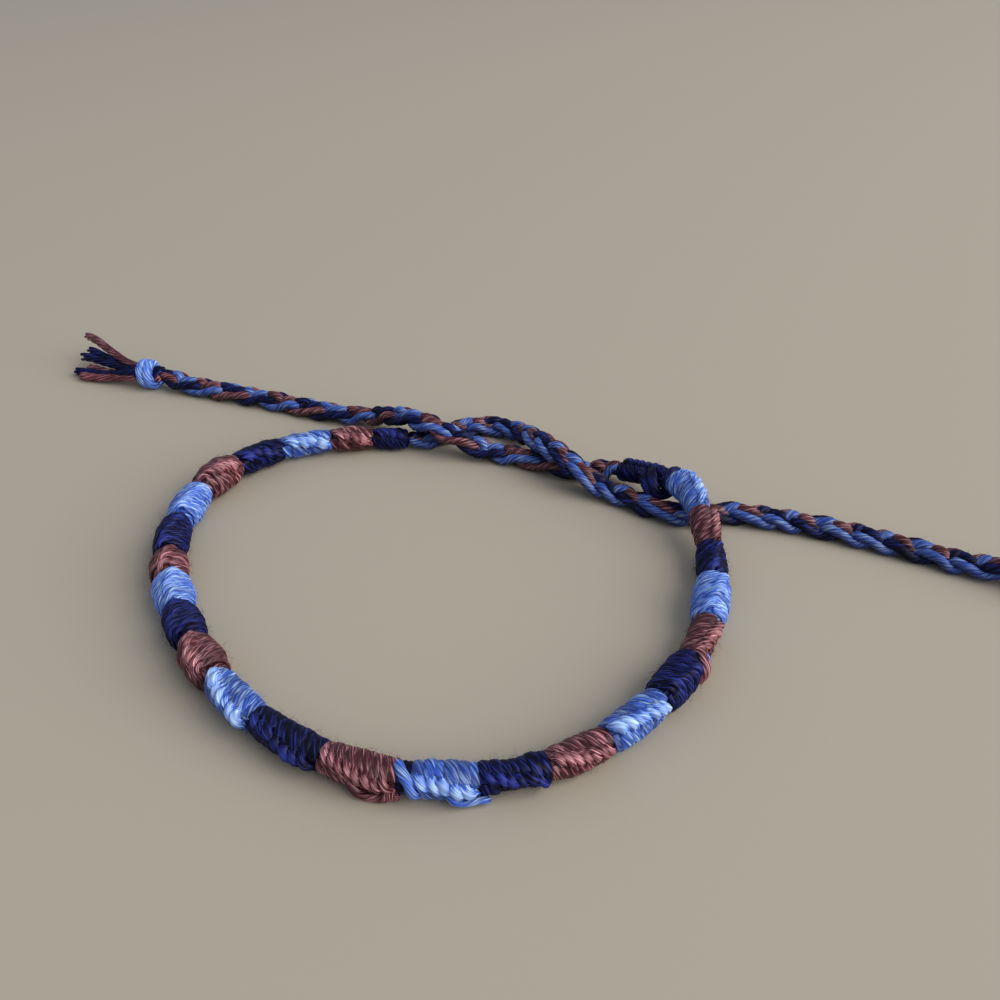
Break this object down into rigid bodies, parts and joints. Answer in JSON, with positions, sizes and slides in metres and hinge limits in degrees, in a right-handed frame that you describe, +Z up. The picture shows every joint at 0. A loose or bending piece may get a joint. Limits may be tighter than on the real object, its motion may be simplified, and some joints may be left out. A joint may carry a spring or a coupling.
{
  "type": "friendship bracelet",
  "caption": "Knotted friendship bracelet of navy, light blue and rose cotton floss, lying open, with braided ties that cross and end in knots and cut tassels.",
  "frame": {"origin": "on the table, under the middle of the knotted band's bounding box", "axes": "+Z up out of the table; +X to the picture's right along the table; +Y away from the picture's viewer"},
  "size_m": [0.1276, 0.0805, 0.0055],
  "materials": {
    "navy_floss": "cotton embroidery floss, soft sheen, slightly fuzzy",
    "sky_floss": "cotton embroidery floss, soft sheen, slightly fuzzy",
    "rose_floss": "cotton embroidery floss, soft sheen, slightly fuzzy",
    "braided_floss": "the three floss colours braided together"
  },
  "bodies": {
    "root": {"block_01_navy": "navy_floss", "block_02_sky": "sky_floss", "block_03_rose": "rose_floss", "block_04_navy": "navy_floss", "block_05_sky": "sky_floss", "block_06_rose": "rose_floss", "block_07_navy": "navy_floss", "block_08_sky": "sky_floss", "block_09_rose": "rose_floss", "block_10_navy": "navy_floss", "block_11_sky": "sky_floss", "block_12_rose": "rose_floss", "block_13_navy": "navy_floss", "block_14_sky": "sky_floss", "block_15_rose": "rose_floss", "block_16_navy": "navy_floss", "block_17_sky": "sky_floss", "block_18_rose": "rose_floss", "block_19_navy": "navy_floss", "block_20_sky": "sky_floss", "block_21_rose": "rose_floss", "block_22_navy": "navy_floss", "block_23_sky": "sky_floss", "block_24_rose": "rose_floss", "block_25_navy": "navy_floss", "core_threads": "navy_floss", "tie_left": "braided_floss", "tie_right": "braided_floss", "knot_left": "braided_floss", "knot_right": "braided_floss", "tassel_left": "braided_floss", "tassel_right": "braided_floss"}
  },
  "joints": []
}
